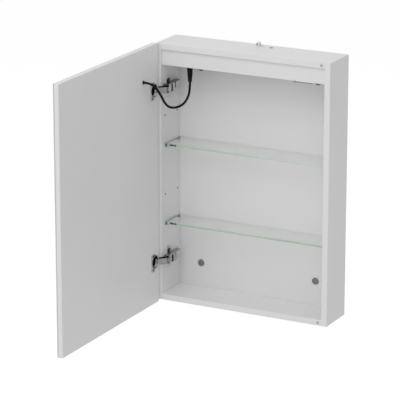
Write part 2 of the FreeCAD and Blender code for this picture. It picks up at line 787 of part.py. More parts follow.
def hinge_link(level):
    """Link from the arm's pivot pin into the cup, in the open pose: a channel with a narrower end."""
    pivot_x, pivot_y = about_axis(PIVOT)
    end_x, end_y = about_axis((LINK_END[1], -LINK_END[0]))
    length = math.hypot(end_x - pivot_x, end_y - pivot_y)
    along = ((end_x - pivot_x) / length, (end_y - pivot_y) / length)
    side = (-along[1], along[0])

    def at(distance, offset):
        x = pivot_x + along[0] * distance + side[0] * offset
        return x, pivot_y + along[1] * distance + side[1] * offset

    def strip(start, stop, low_offset, high_offset):
        return [at(start, low_offset), at(stop, low_offset), at(stop, high_offset), at(start, high_offset)]

    half = LINK_HALF_HEIGHT
    wide = strip(0, LINK_SHOULDER, -half, half)
    narrow = strip(LINK_SHOULDER - 1, length, -half, half)
    face_start = NOSE_EYE + 0.6
    wide_face = strip(face_start, LINK_SHOULDER, half - SHEET, half)
    narrow_face = strip(LINK_SHOULDER - 1, length - 2, half - SHEET, half)
    inner_end = LINK_END_PLATE[0]
    step = strip(LINK_SHOULDER - SHEET, LINK_SHOULDER, -half, half)
    pieces = both_sides(lambda low, high: prism(wide, low, high), level, *LINK_PLATE)
    pieces += both_sides(lambda low, high: prism(narrow, low, high), level, *LINK_END_PLATE)
    pieces += both_sides(lambda low, high: prism(step, low, high), level, inner_end, LINK_PLATE[1])
    pieces += both_sides(
        lambda low, high: rod(half + 0.8, vec(pivot_x, pivot_y, low), UP, high - low), level, *LINK_PLATE
    )
    pieces += both_sides(
        lambda low, high: rod(half, vec(end_x, end_y, low), UP, high - low), level, *LINK_END_PLATE
    )
    stub = (inner_end, LINK_END_PLATE[1] + 1)
    pieces += both_sides(
        lambda low, high: rod(1.0, vec(end_x, end_y, low), UP, high - low), level, *stub
    )
    pieces.append(prism(wide_face, level - LINK_PLATE[1], level + LINK_PLATE[1]))
    pieces.append(prism(narrow_face, level - LINK_END_PLATE[1], level + LINK_END_PLATE[1]))
    pin_hole = rod(PIVOT_PIN_RADIUS + RUNNING_GAP, vec(pivot_x, pivot_y, level - 12), UP, 24)
    return join(pieces).cut(pin_hole)


# All nodes

LOWER_HINGE, UPPER_HINGE = hinge_levels()

NODES = {
    "left_side_panel": side_panel(-1),
    "right_side_panel": side_panel(1),
    "top_panel": top_panel(),
    "bottom_panel": cross_panel(BOTTOM),
    "back_panel": back_panel(),
    "panel_dowels": panel_dowels(),
    "electrics_fascia": electrics_fascia(),
    "electrics_floor": electrics_floor(),
    "led_driver": led_driver(),
    "driver_screws": driver_screws(),
    "terminal_block": terminal_block(),
    "driver_lead": driver_lead(),
    "strain_relief": strain_relief(),
    "lower_shelf": shelf(SHELF_PIN_LEVELS[0]),
    "upper_shelf": shelf(SHELF_PIN_LEVELS[1]),
    "shelf_pins": shelf_pins(),
    "wall_screw_caps": wall_screw_caps(),
    "door_bumpers": door_bumpers(),
    "cable_clip": cable_clip(),
    "cable_clip_screw": cable_clip_screw(),
    "top_cable_bush": top_cable_bush(),
    "door_board": opened(door_board()),
    "mirror_glass": opened(mirror_glass()),
    "light_diffusers": opened(light_diffusers()),
    "led_strips": opened(led_strips()),
    "door_wiring": opened(door_wiring()),
    "door_cable_bush": opened(door_cable_bush()),
    "lower_hinge_cup": opened(hinge_cup(LOWER_HINGE)),
    "upper_hinge_cup": opened(hinge_cup(UPPER_HINGE)),
    "hinge_cup_screws": opened(hinge_cup_screws()),
    "lower_hinge_plate": hinge_plate(LOWER_HINGE),
    "upper_hinge_plate": hinge_plate(UPPER_HINGE),
    "hinge_plate_screws": hinge_plate_screws(),
    "lower_hinge_arm": hinge_arm(LOWER_HINGE),
    "upper_hinge_arm": hinge_arm(UPPER_HINGE),
    "hinge_arm_screws": hinge_arm_screws(),
    "hinge_pivot_pins": hinge_pivot_pins(),
    "lower_hinge_link": hinge_link(LOWER_HINGE),
    "upper_hinge_link": hinge_link(UPPER_HINGE),
    "door_cable": cord_tube(CABLE_ROUTE, CABLE_RADIUS, "door_cable"),
}

os.makedirs("parts", exist_ok=True)
for name, shape in NODES.items():
    shape.exportStep(f"parts/{name}.step")
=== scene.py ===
import json
import math

import bmesh
import bpy
from mathutils import Matrix, Vector


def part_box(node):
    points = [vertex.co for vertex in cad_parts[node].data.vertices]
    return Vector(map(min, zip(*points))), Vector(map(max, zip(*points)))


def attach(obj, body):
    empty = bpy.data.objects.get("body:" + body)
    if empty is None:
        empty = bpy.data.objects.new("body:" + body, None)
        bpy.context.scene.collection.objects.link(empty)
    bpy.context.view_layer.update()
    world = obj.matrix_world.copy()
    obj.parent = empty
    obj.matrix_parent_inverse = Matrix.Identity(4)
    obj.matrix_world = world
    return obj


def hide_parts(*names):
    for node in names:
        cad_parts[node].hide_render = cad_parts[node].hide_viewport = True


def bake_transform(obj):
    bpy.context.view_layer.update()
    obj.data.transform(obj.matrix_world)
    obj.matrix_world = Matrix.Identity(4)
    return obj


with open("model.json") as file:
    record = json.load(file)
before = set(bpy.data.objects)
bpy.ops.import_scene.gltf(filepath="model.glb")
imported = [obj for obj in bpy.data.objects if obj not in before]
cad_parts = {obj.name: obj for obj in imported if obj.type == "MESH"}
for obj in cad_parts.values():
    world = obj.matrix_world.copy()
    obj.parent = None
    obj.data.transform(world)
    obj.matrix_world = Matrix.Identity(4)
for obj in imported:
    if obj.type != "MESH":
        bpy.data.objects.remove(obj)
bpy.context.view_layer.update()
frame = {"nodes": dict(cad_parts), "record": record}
MM = 0.001

# Camera, fitted to the photograph's frame

SENSOR_MM = 36.0
LENS_MM = 226.1
CAMERA_PLACE = (2.8032, -5.7010, 1.8072)
CAMERA_YAW = 27.604
CAMERA_PITCH = -16.489
FARTHEST_SEEN = 100.0

camera_data = bpy.data.cameras.new("camera")
camera_data.lens = LENS_MM
camera_data.sensor_width = SENSOR_MM
camera_data.clip_end = FARTHEST_SEEN
camera = bpy.data.objects.new("camera", camera_data)
camera.location = CAMERA_PLACE
camera.rotation_euler = (math.radians(90 + CAMERA_PITCH), 0.0, math.radians(CAMERA_YAW))
bpy.context.scene.collection.objects.link(camera)
bpy.context.scene.camera = camera
bpy.context.scene.view_settings.view_transform = "Standard"

# Places on the object, in metres, in the open rest pose

FRONT_Y = -0.112
BACK_FACE_Y = -0.009
TOP_Z = 0.348
SIDE_INNER_X = -0.234
DOOR_INNER_X = -0.2375

HINGE_LEVELS = (-0.240, 0.227)
CUP_AXIS_Y = -0.1425
CUP_INSIDE = 0.0169
CUP_WALL_X = -0.2450
CUP_WALL_Y = -0.1370
ARM_NOSE_Y = -0.1043
ARM_NOTCH_Y = (-0.0715, -0.0655)
RAIL_FACE_X = SIDE_INNER_X + 3.5 * MM
# Size of the dark oval round the upper plate screw: its hole with painted shade round it
PLATE_SHADE_HALF_WIDTH = 8.0 * MM
PLATE_SHADE_HALF_HEIGHT = 5.4 * MM

PLATE_SCREW_X = SIDE_INNER_X + 3 * MM
PLATE_SCREW_Y = -0.075
PLATE_SCREW_SPREAD = 0.016
CUP_SCREW_X = DOOR_INNER_X + 1 * MM
CUP_SCREW_Y = -0.153
CUP_SCREW_SPREAD = 0.019
ARM_SCREW_X = SIDE_INNER_X + 16 * MM
ARM_SCREW_Y = -0.086
CLIP_SCREW_PLACE = (0.013, -0.022, TOP_Z + 1.6 * MM)
TRAY_SCREW_X = (-0.111, 0.051)
TRAY_SCREW_Y = -0.070
DRIVER_FOOT_Z = 0.303

CAP_X = 0.169
CAP_Z = 0.269
BUMPER_X = 0.225
BUMPER_LEVELS = (-0.344, 0.340)

LIGHT_BANDS_Y = ((-0.1865, -0.1645), (-0.5815, -0.5595))
LIGHT_BANDS_Z = (-0.303, 0.299)
MIRROR_JOINT_X = -0.2511
# Runs of painted reflection on the shelves' front edges, near their left ends
SHELF_REFLECTIONS_X = ((-0.2305, -0.2265), (-0.2185, -0.2075), (-0.2055, -0.1995))
# Where the upper shelf's edges turn paler to the right, as painted light
SHELF_PAINTED_LIGHT_X = (-0.12, 0.2)
SHELF_REAR_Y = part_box("upper_shelf")[1][1]

OUT_OF_WALL = (0, -1, 0)
TO_THE_RIGHT = (1, 0, 0)
UP = (0, 0, 1)


# Shader helpers, with the colour sockets of a mix node by number

MIX_FIRST, MIX_SECOND, MIX_RESULT = 6, 7, 2
MAINLY_ALONG = 0.75


class Shade:
    """A material's node tree, with the Principled shader at its end."""

    def __init__(self, name):
        self.material = bpy.data.materials.new(name)
        self.material.use_nodes = True
        self.tree = self.material.node_tree
        self.tree.nodes.clear()
        self.output = self.add("ShaderNodeOutputMaterial")
        self.bsdf = self.add("ShaderNodeBsdfPrincipled")
        self.tree.links.new(self.bsdf.outputs[0], self.output.inputs["Surface"])
        place = self.add("ShaderNodeTexCoord")
        self.coords = place.outputs["Object"]
        self.normal = place.outputs["Normal"]

    def add(self, kind, inputs=None, **settings):
        node = self.tree.nodes.new(kind)
        for key, value in settings.items():
            setattr(node, key, value)
        for key, value in (inputs or {}).items():
            self.put(node.inputs[key], value)
        return node

    def put(self, socket, value):
        if isinstance(value, bpy.types.NodeSocket):
            self.tree.links.new(value, socket)
        else:
            socket.default_value = value

    def set(self, **values):
        for key, value in values.items():
            self.put(self.bsdf.inputs[key.replace("_", " ")], value)

    def noise(self, scale, detail=2.0, stretch=None):
        """Noise with scale features to the metre, longer along an axis that stretch makes small."""
        vector = self.coords
        if stretch:
            mapping = self.add("ShaderNodeMapping", {"Vector": vector, "Scale": stretch})
            vector = mapping.outputs[0]
        inputs = {"Vector": vector, "Scale": scale, "Detail": detail}
        return self.add("ShaderNodeTexNoise", inputs).outputs["Fac"]

    def spread(self, value, low, high, from_low=0.3, from_high=0.7):
        """A value moved from one range, by default the middle of a noise's, to another."""
        inputs = {"Value": value, "From Min": from_low, "From Max": from_high}
        inputs.update({"To Min": low, "To Max": high})
        return self.add("ShaderNodeMapRange", inputs).outputs[0]

    def mix(self, factor, first, second):
        node = self.add("ShaderNodeMix", data_type="RGBA")
        self.put(node.inputs[0], factor)
        self.put(node.inputs[MIX_FIRST], first)
        self.put(node.inputs[MIX_SECOND], second)
        return node.outputs[MIX_RESULT]

    def cloudy(self, noise, colours):
        """A blend of two colours by a noise."""
        return self.mix(self.spread(noise, 0.0, 1.0), *colours)

    def math(self, operation, first, second=0.0):
        node = self.add("ShaderNodeMath", operation=operation)
        self.put(node.inputs[0], first)
        self.put(node.inputs[1], second)
        return node.outputs[0]

    def axis(self, name, source=None):
        return self.add("ShaderNodeSeparateXYZ", {0: source or self.coords}).outputs[name]

    def above(self, value, level):
        return self.math("GREATER_THAN", value, level)

    def below(self, value, level):
        return self.math("LESS_THAN", value, level)

    def both(self, first, *others):
        for other in others:
            first = self.math("MULTIPLY", first, other)
        return first

    def either(self, first, *others):
        for other in others:
            first = self.math("MAXIMUM", first, other)
        return first

    def between(self, value, low, high):
        return self.both(self.above(value, low), self.below(value, high))

    def within(self, value, ranges):
        """One inside any of some ranges."""
        return self.either(*[self.between(value, low, high) for low, high in ranges])

    def distance(self, name, places):
        """How far a point is along an axis from the nearer of two places."""
        steps = [self.math("SUBTRACT", self.axis(name), place) for place in places]
        return self.math("MINIMUM", *[self.math("ABSOLUTE", step) for step in steps])

    def squares(self, first, second):
        """The sum of two squares."""
        return self.math("ADD", self.both(first, first), self.both(second, second))

    def facing(self, axis):
        """One where the surface turns mainly along an axis of the object."""
        return self.above(self.math("ABSOLUTE", self.axis(axis, self.normal)), MAINLY_ALONG)

    def bump(self, height, strength, distance):
        inputs = {"Height": height, "Strength": strength, "Distance": distance}
        self.set(Normal=self.add("ShaderNodeBump", inputs).outputs[0])


def rgb(red, green, blue):
    return (red, green, blue, 1.0)


def grey(level):
    return rgb(level, level, level)


def tinted(level, factor):
    return rgb(*[part * factor for part in level])


# Colours, as a pair where a noise blends two

BOARD_WHITE = (0.80, 0.80, 0.80)
CORE_BROWN = (rgb(0.13, 0.085, 0.045), rgb(0.30, 0.21, 0.12))
CORE_BEIGE = (rgb(0.40, 0.32, 0.22), rgb(0.56, 0.47, 0.35))
# Near black core for the side panels' pin holes: painted shade in the holes
CORE_PAINTED_SHADE = (rgb(0.015, 0.012, 0.01), rgb(0.045, 0.036, 0.028))
BEECH = (rgb(0.52, 0.34, 0.18), rgb(0.38, 0.23, 0.11))
BEECH_FLECK = rgb(0.22, 0.12, 0.05)
GLASS_CLEAR = rgb(0.99, 1.0, 0.992)
GLASS_EDGE = (rgb(0.56, 0.70, 0.57), rgb(0.66, 0.80, 0.67))
# Pale green painted light on the upper shelf's edges, towards the right
GLASS_EDGE_PAINTED_LIGHT = rgb(0.86, 0.92, 0.87)
# Dark green painted reflections on the shelves' front edges
GLASS_EDGE_REFLECTION = rgb(0.05, 0.11, 0.05)
GLASS_END = rgb(0.10, 0.19, 0.11)
SILVERING = (rgb(0.72, 0.765, 0.775), rgb(0.75, 0.79, 0.80))
FROST = (grey(0.90), grey(0.95))
MIRROR_EDGE = (rgb(0.72, 0.735, 0.725), rgb(0.78, 0.795, 0.785))
MIRROR_JOINT = rgb(0.34, 0.35, 0.345)
CIRCUIT_WHITE = (rgb(0.70, 0.70, 0.68), rgb(0.78, 0.78, 0.76))
COPPER = rgb(0.62, 0.46, 0.20)
# Pale painted highlight on the wall of each hinge cup
CUP_WALL_HIGHLIGHT = grey(0.92)

HINGE_STEEL = (0.66, 0.66, 0.67)
LINK_STEEL = (0.235, 0.235, 0.24)
CUP_STEEL = (0.58, 0.58, 0.59)
PLATE_STEEL = (0.70, 0.70, 0.71)
PIN_STEEL = (0.45, 0.45, 0.46)
# Screws darkened as painted shade, so that they read dark in the arm's slot and on the plate
DARK_SCREW = (0.12, 0.12, 0.125)
ZINC_SCREW = (0.62, 0.62, 0.63)
# Near black cross recesses of the screws: painted shade
SCREW_RECESS_SHADE = (0.05, 0.05, 0.05)

# Index of refraction that keeps the shelf's rear edge as faint as in the photograph

GLASS_IOR = 1.2
GLASS_FACE_TURN = 0.8

# Copper pads along a circuit strip, and the share of each step that a pad takes

PADS_PER_METRE = 40.0
PAD_SPAN = (0.44, 0.56)

# Heights over a hinge's level where its materials change: the bands of painted highlight and
# painted shade

CUP_HIGHLIGHT_HEIGHTS = (-17.0 * MM, 4.0 * MM)
CUP_SHADE_HEIGHTS = (-14.0 * MM, 18.0 * MM)
LINK_SHADE_HEIGHTS = (6.4 * MM, 12.0 * MM)

# Depth of the white film over a board's core, and of its rounded edges

FILM_DEPTH = 0.3 * MM
EDGE_DEPTH = 3.0 * MM


def board_shade(node, white=1.0, core=CORE_BROWN):
    """White faced board: satin film with a fine grain, and the given core colour where it is
    drilled or cut: raw core, or painted shade for deep holes.
    """
    shade = Shade("white_" + node)
    whites = [tinted(BOARD_WHITE, factor * white) for factor in (0.985, 1.012)]
    film = shade.cloudy(shade.noise(5.0, 3.0), whites)
    sides = list(zip("XYZ", *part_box(node)))
    thinnest = min(high - low for _, low, high in sides)
    inside = []
    for axis, low, high in sides:
        depth = FILM_DEPTH if high - low == thinnest else EDGE_DEPTH
        inside.append(shade.between(shade.axis(axis), low + depth, high - depth))
    cut = shade.both(*inside)
    fibre = shade.cloudy(shade.noise(1100.0, 3.0), core)
    shade.set(Base_Color=shade.mix(cut, film, fibre), Specular_IOR_Level=0.4)
    satin = shade.spread(shade.noise(260.0), 0.36, 0.5)
    shade.set(Roughness=shade.either(satin, shade.math("MULTIPLY", cut, 0.85)))
    shade.bump(shade.noise(1500.0, 1.0), strength=0.06, distance=0.2 * MM)
    return shade.material


def metal_shade(name, level, rough, stretch, dark=None, painted_top_shade=1.0, pale=None, darkness=0.006):
    """Plated steel with a drawn grain, painted shade on its top faces, black painted shade where
    one mask says so and a pale painted highlight where another does.
    """
    shade = Shade(name)
    grain = shade.noise(900.0, 3.0, stretch)
    colour = shade.cloudy(shade.noise(90.0), (tinted(level, 0.9), tinted(level, 1.08)))
    # Painted shade: the top faces darker by a factor
    if painted_top_shade < 1.0:
        colour = shade.mix(shade.facing("Z"), colour, tinted(level, painted_top_shade))
    roughness = shade.spread(grain, rough - 0.07, rough + 0.1)
    # Black painted shade where the mask says so
    if dark:
        mask = dark(shade)
        colour = shade.mix(mask, colour, grey(darkness))
        roughness = shade.either(roughness, shade.math("MULTIPLY", mask, 0.6))
    metallic = 1.0
    # Pale painted highlight, not metallic, where the mask says so
    if pale:
        mask = pale(shade)
        colour = shade.mix(mask, colour, CUP_WALL_HIGHLIGHT)
        metallic = shade.math("SUBTRACT", 1.0, mask)
    shade.set(Base_Color=colour, Metallic=metallic, Roughness=roughness)
    shade.bump(grain, strength=0.1, distance=0.1 * MM)
    return shade.material


def plastic_shade(name, level, rough, gloss=0.5, grain_scale=900.0, grain=0.15):
    """Moulded plastic or rubber with a spark eroded grain."""
    shade = Shade(name)
    speck = shade.noise(grain_scale)
    colour = shade.cloudy(shade.noise(60.0), (tinted(level, 0.88), tinted(level, 1.12)))
    shade.set(Base_Color=colour, Roughness=shade.spread(speck, rough - 0.08, rough + 0.1))
    shade.set(Specular_IOR_Level=gloss)
    shade.bump(speck, strength=grain, distance=0.1 * MM)
    return shade.material


def wood_shade(name):
    """Beech dowel: long grain with short dark flecks."""
    shade = Shade(name)
    grain = shade.noise(420.0, 4.0, (0.08, 1.0, 1.0))
    fleck = shade.spread(shade.noise(1600.0, 2.0, (0.2, 1.0, 1.0)), 0.0, 1.0, 0.6, 0.72)
    colour = shade.mix(fleck, shade.cloudy(grain, BEECH), BEECH_FLECK)
    shade.set(Base_Color=colour, Roughness=0.6)
    shade.bump(grain, strength=0.2, distance=0.1 * MM)
    return shade.material


def glass_shade(name):
    """Float glass: clear faces, ground edges with the green of the thickness behind them, with
    painted light and painted reflections on the edges.
    """
    shade = Shade(name)
    level = shade.math("ABSOLUTE", shade.axis("Z", shade.normal))
    before_rear = shade.below(shade.axis("Y"), SHELF_REAR_Y - 1.0 * MM)
    edge = shade.both(shade.below(level, GLASS_FACE_TURN), before_rear)
    colour = shade.cloudy(shade.noise(40.0), GLASS_EDGE)
    # Painted light: the upper shelf's edges paler towards the right
    rightwards = shade.spread(shade.axis("X"), 0.0, 0.8, *SHELF_PAINTED_LIGHT_X)
    on_upper_shelf = shade.above(shade.axis("Z"), 0.0)
    colour = shade.mix(shade.both(on_upper_shelf, rightwards), colour, GLASS_EDGE_PAINTED_LIGHT)
    # Painted reflections: dark green runs near the left end of each front edge
    painted_reflections = shade.within(shade.axis("X"), SHELF_REFLECTIONS_X)
    colour = shade.mix(painted_reflections, colour, GLASS_EDGE_REFLECTION)
    colour = shade.mix(shade.facing("X"), colour, GLASS_END)
    shade.set(Base_Color=shade.mix(edge, GLASS_CLEAR, colour), IOR=GLASS_IOR)
    shade.set(Transmission_Weight=shade.spread(edge, 1.0, 0.25, 0.0, 1.0))
    ground = shade.spread(shade.noise(700.0), 0.15, 0.3)
    shade.set(Roughness=shade.math("MULTIPLY", edge, ground))
    return shade.material


def mirror_shade(name):
    """Silvered glass with two frosted bands, and pale edges with a dark joint to the board."""
    shade = Shade(name)
    face = shade.facing("X")
    bands = shade.within(shade.axis("Y"), LIGHT_BANDS_Y)
    bands = shade.both(face, bands, shade.between(shade.axis("Z"), *LIGHT_BANDS_Z))
    haze = shade.noise(4.0)
    joint = shade.both(shade.facing("Y"), shade.above(shade.axis("X"), MIRROR_JOINT_X))
    edge = shade.mix(joint, shade.cloudy(haze, MIRROR_EDGE), MIRROR_JOINT)
    colour = shade.mix(face, edge, shade.cloudy(haze, SILVERING))
    colour = shade.mix(bands, colour, shade.cloudy(shade.noise(260.0), FROST))
    shade.set(Base_Color=colour, Metallic=shade.math("SUBTRACT", face, bands))
    polish = shade.spread(shade.noise(300.0), 0.015, 0.035)
    frosted = shade.math("MULTIPLY", bands, 0.5)
    shade.set(Roughness=shade.either(polish, frosted, shade.math("MULTIPLY", face, 0.02)))
    return shade.material


def circuit_shade(name):
    """White circuit strip with copper pads across it."""
    shade = Shade(name)
    along = shade.math("FRACT", shade.math("MULTIPLY", shade.axis("Z"), PADS_PER_METRE))
    white = shade.cloudy(shade.noise(700.0), CIRCUIT_WHITE)
    colour = shade.mix(shade.between(along, *PAD_SPAN), white, COPPER)
    shade.set(Base_Color=colour, Roughness=0.45)
    return shade.material


# Masks for the painted shade and the painted highlight in the hinges

def over_hinge(shade, heights):
    """One between two heights over the level of either hinge."""
    low, high = heights
    return shade.within(shade.axis("Z"), [(level + low, level + high) for level in HINGE_LEVELS])


def cup_hollow(shade):
    """The inside of each hinge cup, below the door's inner face."""
    across = shade.math("SUBTRACT", shade.axis("Y"), CUP_AXIS_Y)
    squares = shade.squares(across, shade.distance("Z", HINGE_LEVELS))
    sunk = shade.below(shade.axis("X"), DOOR_INNER_X - 0.5 * MM)
    return shade.both(shade.below(squares, CUP_INSIDE ** 2), sunk)


def cup_wall_painted_highlight(shade):
    """The wall of the hollow on the hinge side, painted as a pale highlight where it catches the
    light under the link.
    """
    beside = shade.above(shade.axis("Y"), CUP_WALL_Y)
    outer = shade.above(shade.axis("X"), CUP_WALL_X)
    return shade.both(cup_hollow(shade), beside, outer, over_hinge(shade, CUP_HIGHLIGHT_HEIGHTS))


def cup_painted_shade(shade):
    """Painted shade over the rest of the hollow, down to the lip at its foot."""
    rest = shade.math("SUBTRACT", cup_hollow(shade), cup_wall_painted_highlight(shade))
    return shade.both(rest, over_hinge(shade, CUP_SHADE_HEIGHTS))


def plate_painted_shade(shade):
    """Painted shade on the rail that the arm covers, and a dark oval round the upper plate screw:
    its hole with painted shade round it.
    """
    rail = shade.above(shade.axis("X"), RAIL_FACE_X)
    across = shade.math("SUBTRACT", shade.axis("Y"), PLATE_SCREW_Y)
    across = shade.math("DIVIDE", across, PLATE_SHADE_HALF_WIDTH)
    height = shade.distance("Z", [level + PLATE_SCREW_SPREAD for level in HINGE_LEVELS])
    height = shade.math("DIVIDE", height, PLATE_SHADE_HALF_HEIGHT)
    return shade.either(rail, shade.below(shade.squares(across, height), 1.0))


def arm_painted_shade(shade):
    """Painted shade on the upright sides of the arm's nose, in the gap behind the link."""
    upright = shade.math("SUBTRACT", 1.0, shade.facing("Z"))
    return shade.both(upright, shade.below(shade.axis("Y"), ARM_NOSE_Y))


def upper_arm_painted_shade(shade):
    """The same painted shade, and painted shade on the walls of the notch in the arm's face."""
    wall = shade.both(shade.facing("Y"), shade.between(shade.axis("Y"), *ARM_NOTCH_Y))
    return shade.either(arm_painted_shade(shade), wall)


def link_painted_shade(shade):
    """Painted shade on the cut edges of the link's sheet and in a band along its top."""
    return shade.either(shade.facing("Z"), over_hinge(shade, LINK_SHADE_HEIGHTS))


# Materials, by the record's slot or by the node

BOARDS = ("top_panel", "bottom_panel", "electrics_fascia", "electrics_floor", "door_board")
DRILLED_BOARDS = ("left_side_panel", "right_side_panel")
ALONG_X = (0.1, 1.0, 1.0)
ALONG_Y = (1.0, 0.06, 1.0)
ALONG_Z = (1.0, 1.0, 0.06)
TURNED = (1.0, 1.0, 0.3)

screw_steel = metal_shade("screw_steel", DARK_SCREW, 0.3, TURNED)
zinc_steel = metal_shade("zinc_steel", ZINC_SCREW, 0.3, TURNED)
# Near black steel in the screws' recesses, as painted shade
recess_painted_shade = metal_shade("screw_recess_painted_shade", SCREW_RECESS_SHADE, 0.5, TURNED)
# Link, cup and plate steels with painted shade from their masks, and the cup with a painted
# highlight
link_steel = metal_shade("link_steel", LINK_STEEL, 0.34, ALONG_Z, link_painted_shade)
cup_steel = metal_shade("cup_steel", CUP_STEEL, 0.26, ALONG_Z, cup_painted_shade, pale=cup_wall_painted_highlight)
plate_steel = metal_shade("plate_steel", PLATE_STEEL, 0.28, ALONG_Z, plate_painted_shade)
cable_sheath = plastic_shade("cable_sheath", (0.003, 0.003, 0.003), 0.55, 0.15, 2200.0, 0.08)

SLOT_SHADES = {
    "beech": wood_shade("beech"),
    "driver_case": plastic_shade("driver_case", (0.72, 0.72, 0.71), 0.5),
    "screw_steel": screw_steel,
    "pin_steel": metal_shade("pin_steel", PIN_STEEL, 0.22, ALONG_X),
    # Hinge steel with painted shade on its top faces and on the arm's nose
    "hinge_steel": metal_shade("hinge_steel", HINGE_STEEL, 0.26, ALONG_Y, arm_painted_shade,
                               painted_top_shade=0.58, darkness=0.09),
    "black_cable": cable_sheath,
    "black_rubber": plastic_shade("black_rubber", (0.004, 0.004, 0.004), 0.6, 0.15),
    "clear_rubber": plastic_shade("clear_rubber", (0.50, 0.50, 0.50), 0.3),
    "grey_plastic": plastic_shade("grey_plastic", (0.17, 0.17, 0.175), 0.45),
    "pale_plastic": plastic_shade("pale_plastic", (0.74, 0.74, 0.74), 0.4),
    "shelf_glass": glass_shade("shelf_glass"),
    "mirror": mirror_shade("mirror"),
    "diffuser": plastic_shade("diffuser", (0.82, 0.82, 0.80), 0.35),
    "led_board": circuit_shade("led_board"),
}
NODE_SHADES = {node: board_shade(node) for node in BOARDS}
# Side panels with painted shade in their pin holes
NODE_SHADES.update({node: board_shade(node, core=CORE_PAINTED_SHADE) for node in DRILLED_BOARDS})
# The back panel's white toned down as painted shade for the light inside the cabinet
NODE_SHADES["back_panel"] = board_shade("back_panel", 0.96, CORE_BEIGE)
NODE_SHADES["top_cable_bush"] = plastic_shade("bush_plastic", (0.36, 0.36, 0.365), 0.45)
for end in ("lower", "upper"):
    NODE_SHADES[end + "_hinge_link"] = link_steel
    NODE_SHADES[end + "_hinge_cup"] = cup_steel
    NODE_SHADES[end + "_hinge_plate"] = plate_steel
# A shaded copy of the hinge steel for the upper arm: more painted shade on its top faces, its nose
# and its notch
NODE_SHADES["upper_hinge_arm"] = metal_shade("upper_arm_steel_painted_shade", HINGE_STEEL, 0.26, ALONG_Y,
                                             upper_arm_painted_shade, painted_top_shade=0.30, darkness=0.03)

for row in frame["record"]["subparts"]:
    materials = frame["nodes"][row["node"]].data.materials
    materials.clear()
    materials.append(NODE_SHADES.get(row["node"]) or SLOT_SHADES[row["material_slot"]])

# Small turned pieces, in place of the plain ones

SCREW_SIDES = 24
TURNED_SIDES = 48
SMOOTH_UP_TO = math.radians(35.0)
TIP_RADIUS_SHARE = 0.25
TIP_LENGTH = 1.5 * MM
RECESS_TAPER = 0.7

# Radius and height of a screw head's rings, as shares of the head's own

HEAD_RINGS = ((1.0, 0.0), (1.0, 0.25), (0.93, 0.62), (0.72, 1.0))

# Radius and height in millimetres, from the axis and back to it

CAP_PROFILE = [(0, 2.8), (3.4, 2.7), (6.6, 2.4), (7.4, 1.8), (7.4, 0), (9, 0), (9, 2.0),
               (8.8, 2.7), (8.3, 3.2), (7.4, 3.6), (6.3, 3.9), (3.4, 4.1), (0, 4.2)]
BUMPER_PROFILE = [(0, 0), (4, 0), (4, 0.5), (3.7, 0.9), (3.2, 1.2), (2.5, 1.4), (1.6, 1.5),
                  (0, 1.6)]


def ring(shape, radius, level, sides):
    """Points round the Z axis at one level."""
    turns = [2 * math.pi * k / sides for k in range(sides)]
    return [shape.verts.new((radius * math.cos(t), radius * math.sin(t), level)) for t in turns]


def loop_pairs(points):
    """Each point of a closed line with the next."""
    return list(zip(points, points[1:] + points[:1]))


def skin(shape, lower, upper, material=0):
    """Faces between two closed lines with as many points each."""
    for (a, b), (c, d) in zip(loop_pairs(lower), loop_pairs(upper)):
        shape.faces.new((a, b, d, c)).material_index = material


def finished(shape, name, materials):
    """The shape as a smooth mesh with its faces turned outwards."""
    bmesh.ops.recalc_face_normals(shape, faces=shape.faces)
    for face in shape.faces:
        face.smooth = True
    mesh = bpy.data.meshes.new(name)
    shape.to_mesh(mesh)
    shape.free()
    for material in materials:
        mesh.materials.append(material)
    return mesh


def cross_outline(reach, half):
    """Corners of a cross, anticlockwise."""
    quarter = [(reach, -half), (reach, half), (half, half)]
    corners = []
    for _ in range(4):
        corners += quarter
        quarter = [(-y, x) for x, y in quarter]
    return corners


def screw_mesh(name, shank, length, head, rise, recess, steel=screw_steel):
    """A screw along +Z, its domed head with a cross recess above zero and its shank below."""
    shape = bmesh.new()
    tip = ring(shape, shank * TIP_RADIUS_SHARE, -length, SCREW_SIDES)
    shape.faces.new(tip[::-1])
    outline = [(shank, -length + TIP_LENGTH), (shank, 0.0)]
    outline += [(head * radius, rise * height) for radius, height in HEAD_RINGS]
    rings = [tip] + [ring(shape, radius, level, SCREW_SIDES) for radius, level in outline]
    for lower, upper in zip(rings, rings[1:]):
        skin(shape, lower, upper)
    reach, half, depth = recess
    cross = cross_outline(reach, half)
    top = [shape.verts.new((x, y, rise)) for x, y in cross]
    low = [shape.verts.new((x * RECESS_TAPER, y * RECESS_TAPER, rise - depth)) for x, y in cross]
    rim = [shape.edges.get(pair) for pair in loop_pairs(rings[-1])]
    rim += [shape.edges.new(pair) for pair in loop_pairs(top)]
    bmesh.ops.triangle_fill(shape, edges=rim, use_beauty=True)
    skin(shape, low, top, 1)
    shape.faces.new(low).material_index = 1
    return finished(shape, name, (steel, recess_painted_shade))


def turned_mesh(name, profile, material):
    """A closed shape turned round +Z from a profile that starts and ends on that axis."""
    shape = bmesh.new()
    poles = [shape.verts.new((0.0, 0.0, profile[end][1] * MM)) for end in (0, -1)]
    rings = [ring(shape, radius * MM, height * MM, TURNED_SIDES)
             for radius, height in profile[1:-1]]
    for lower, upper in zip(rings, rings[1:]):
        skin(shape, lower, upper)
    for pole, around in zip(poles, (rings[0], rings[-1])):
        for pair in loop_pairs(around):
            shape.faces.new((pole, *pair))
    return finished(shape, name, (material,))


